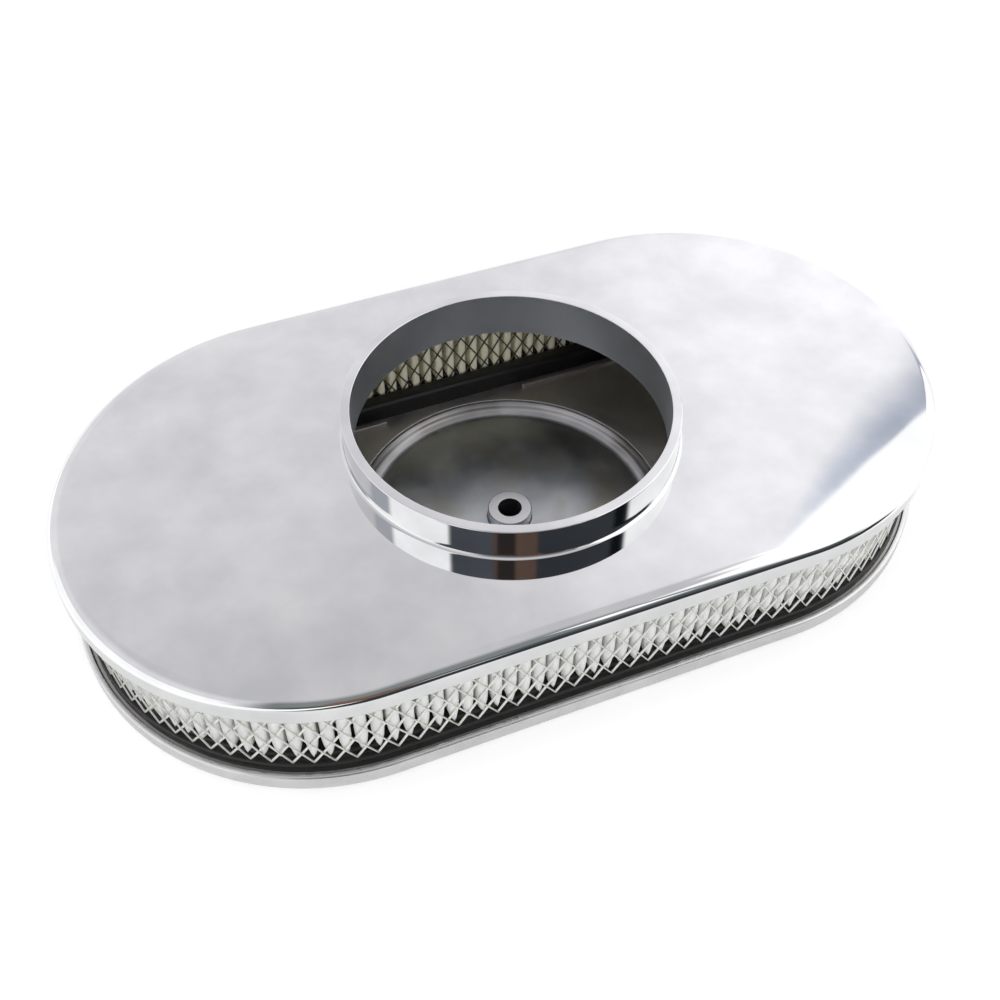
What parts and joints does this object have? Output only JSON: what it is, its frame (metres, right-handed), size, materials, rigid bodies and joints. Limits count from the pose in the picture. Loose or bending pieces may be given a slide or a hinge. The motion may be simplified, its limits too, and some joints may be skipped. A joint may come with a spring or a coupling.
{
  "type": "carburetor air cleaner",
  "caption": "Oval open-element air cleaner: polished cast plate with carburetor neck, pleated element between wire screens, matching lid.",
  "frame": {"origin": "middle of the lid's flat outer face, on the axis of the neck and the stud hole", "axes": "+X along the oval's length, +Y across it, +Z from the lid up through the carburetor neck (upside down to its place on an engine)"},
  "size_m": [0.379, 0.207, 0.0774],
  "materials": {
    "polished_aluminium": "mirror polished outside, as cast and satin turned inside",
    "pleated_media": "matt white folded filter media",
    "screen_wire": "epoxy coated wire mesh",
    "seal_rubber": "moulded black urethane"
  },
  "bodies": {
    "root": {"base_casting": "polished_aluminium", "lid_casting": "polished_aluminium", "filter_media": "pleated_media", "outer_screen": "screen_wire", "inner_screen": "screen_wire", "upper_seal": "seal_rubber", "lower_seal": "seal_rubber"}
  },
  "joints": []
}
